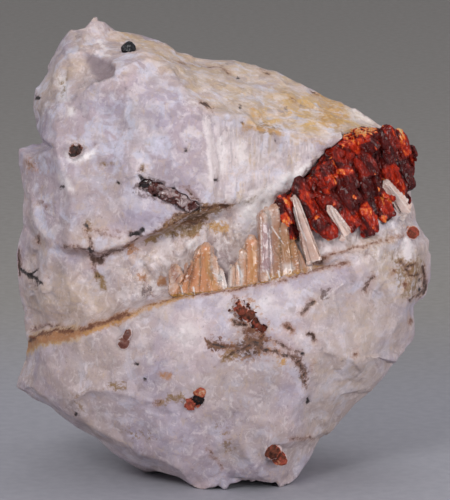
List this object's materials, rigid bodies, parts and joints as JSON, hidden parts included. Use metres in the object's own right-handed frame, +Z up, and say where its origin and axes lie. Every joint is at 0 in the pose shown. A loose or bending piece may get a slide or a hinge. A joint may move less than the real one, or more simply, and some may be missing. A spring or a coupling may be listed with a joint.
{
  "type": "mineral specimen of gerstmannite and zincite on matrix",
  "caption": "Loose block of pale pink-lilac vein rock with a deep red crystal mass and sprays of flat orange to lilac crystals, standing on its flat broken foot.",
  "frame": {"origin": "under the middle of the specimen's bounding box, on the surface that it stands on", "axes": "+Z up, the vein with the crystals faces -Y, the red mass is at the +X end"},
  "size_m": [0.06, 0.0422, 0.0662],
  "materials": {
    "rock": "broken, sugary to cleaved, faintly translucent",
    "zincite": "glassy, deep red, see-through at thin edges",
    "gerstmannite_orange": "glassy, orange-pink, see-through",
    "gerstmannite_pale": "glassy, pale lilac to tan, see-through",
    "franklinite": "black, metallic to glassy gloss",
    "garnet": "glassy, red-brown to black",
    "brown_grain": "glassy, dark brown",
    "rust_grain": "resinous, rusty red-brown"
  },
  "bodies": {
    "root": {"matrix": "rock", "zincite_mass": "zincite", "gerstmannite_spray_left": "gerstmannite_orange", "gerstmannite_spray_centre": "gerstmannite_orange", "gerstmannite_spray_right": "gerstmannite_pale", "gerstmannite_blade_1": "gerstmannite_pale", "gerstmannite_blade_2": "gerstmannite_pale", "gerstmannite_blade_3": "gerstmannite_pale", "franklinite_crystal": "franklinite", "garnet_cluster": "garnet", "pit_grain": "brown_grain", "teardrop_grain": "brown_grain", "rust_grains": "rust_grain", "paired_grain": "rust_grain", "foot_grain": "rust_grain", "end_grain": "rust_grain"}
  },
  "joints": []
}
